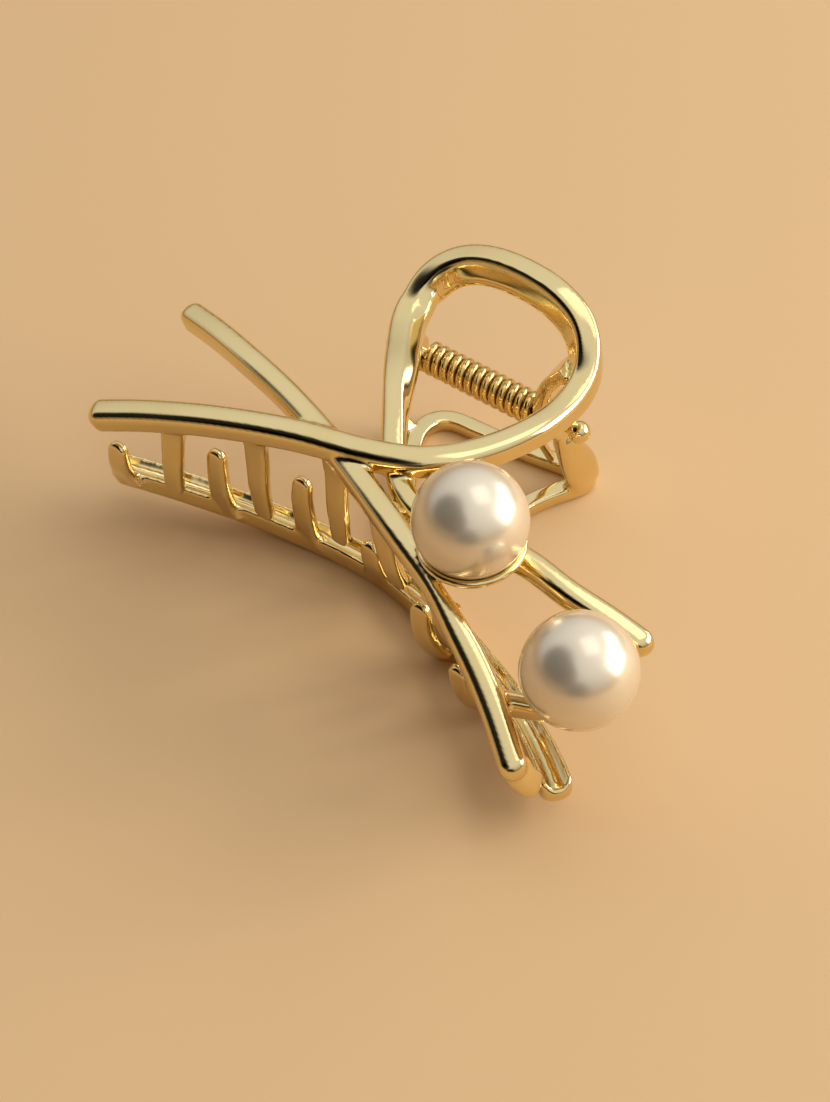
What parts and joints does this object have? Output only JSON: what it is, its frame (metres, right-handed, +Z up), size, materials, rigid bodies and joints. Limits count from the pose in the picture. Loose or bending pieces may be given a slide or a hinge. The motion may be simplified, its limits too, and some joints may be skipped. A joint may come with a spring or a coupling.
{
  "type": "claw hair clip",
  "caption": "Sprung metal claw clip for hair: crossed curved jaws with comb teeth and finger-loop handles turn on a hinge pin, with round pearls in cups on the upper jaw.",
  "frame": {"origin": "on the table, under the middle of the clip's bounding box", "axes": "+X along the hinge pin, towards the pearls, which is the longest way; +Y from the teeth towards the handles; +Z up, with the clip lying on its lower jaw"},
  "size_m": [0.0768, 0.052, 0.0323],
  "materials": {
    "plated_gold": "polished pale gold plating over a zinc casting or a steel pin",
    "plated_wire": "gold-plated spring wire",
    "pearl": "cream pearl lacquer with a soft sheen"
  },
  "bodies": {
    "lower": {"lower_jaw": "plated_gold", "hinge_pin": "plated_gold", "torsion_spring": "plated_wire"},
    "upper": {"upper_jaw": "plated_gold", "pearl_inner": "pearl", "pearl_outer": "pearl"}
  },
  "joints": [
    {"name": "jaw_hinge", "type": "hinge", "parent": "lower", "child": "upper", "pos_m": [-0.0037, 0.01889, 0.0141], "axis": [-1, 0, 0], "range_deg": [0, 50], "stiffness_Nm_per_rad": 0.08, "springref_deg": -34.38, "deforming": ["torsion_spring"]}
  ]
}
